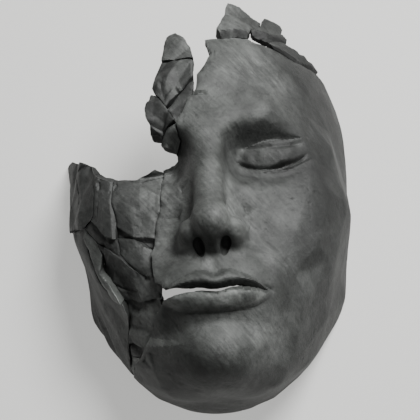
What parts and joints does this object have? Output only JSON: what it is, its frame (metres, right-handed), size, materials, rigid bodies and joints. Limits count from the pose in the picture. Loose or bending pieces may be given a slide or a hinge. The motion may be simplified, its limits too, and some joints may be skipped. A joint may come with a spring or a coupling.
{
  "type": "broken face mask",
  "caption": "Life-size broken face mask of dark matte stone with closed eye and parted lips, a thin shell that lies face up on its flat back rim.",
  "frame": {"origin": "middle of the footprint, in the plane of the flat back rim that the mask lies on", "axes": "+Z out of the face, up when the mask lies on its rim; +Y from chin to crown; +X to the right as one looks at the face"},
  "size_m": [0.1492, 0.21, 0.1024],
  "materials": {
    "stone": "matte, mottled dark grey stone with pits and scratches"
  },
  "bodies": {
    "root": {"face": "stone", "crown_shard_left": "stone", "crown_shard_right": "stone", "hairline_sliver": "stone", "brow_shard_cap": "stone", "brow_shard_upper": "stone", "brow_shard_lower": "stone", "brow_shard_outer": "stone", "socket_shard": "stone", "cheek_rim_shard": "stone", "cheek_plate_outer": "stone", "cheek_plate_inner": "stone", "cheek_chip_outer": "stone", "cheek_chip_inner": "stone", "jaw_plate": "stone", "jaw_sliver": "stone", "jaw_rim_strip": "stone", "jaw_step_upper": "stone", "jaw_step_middle": "stone", "jaw_step_lower": "stone", "jaw_corner_chip": "stone"}
  },
  "joints": []
}
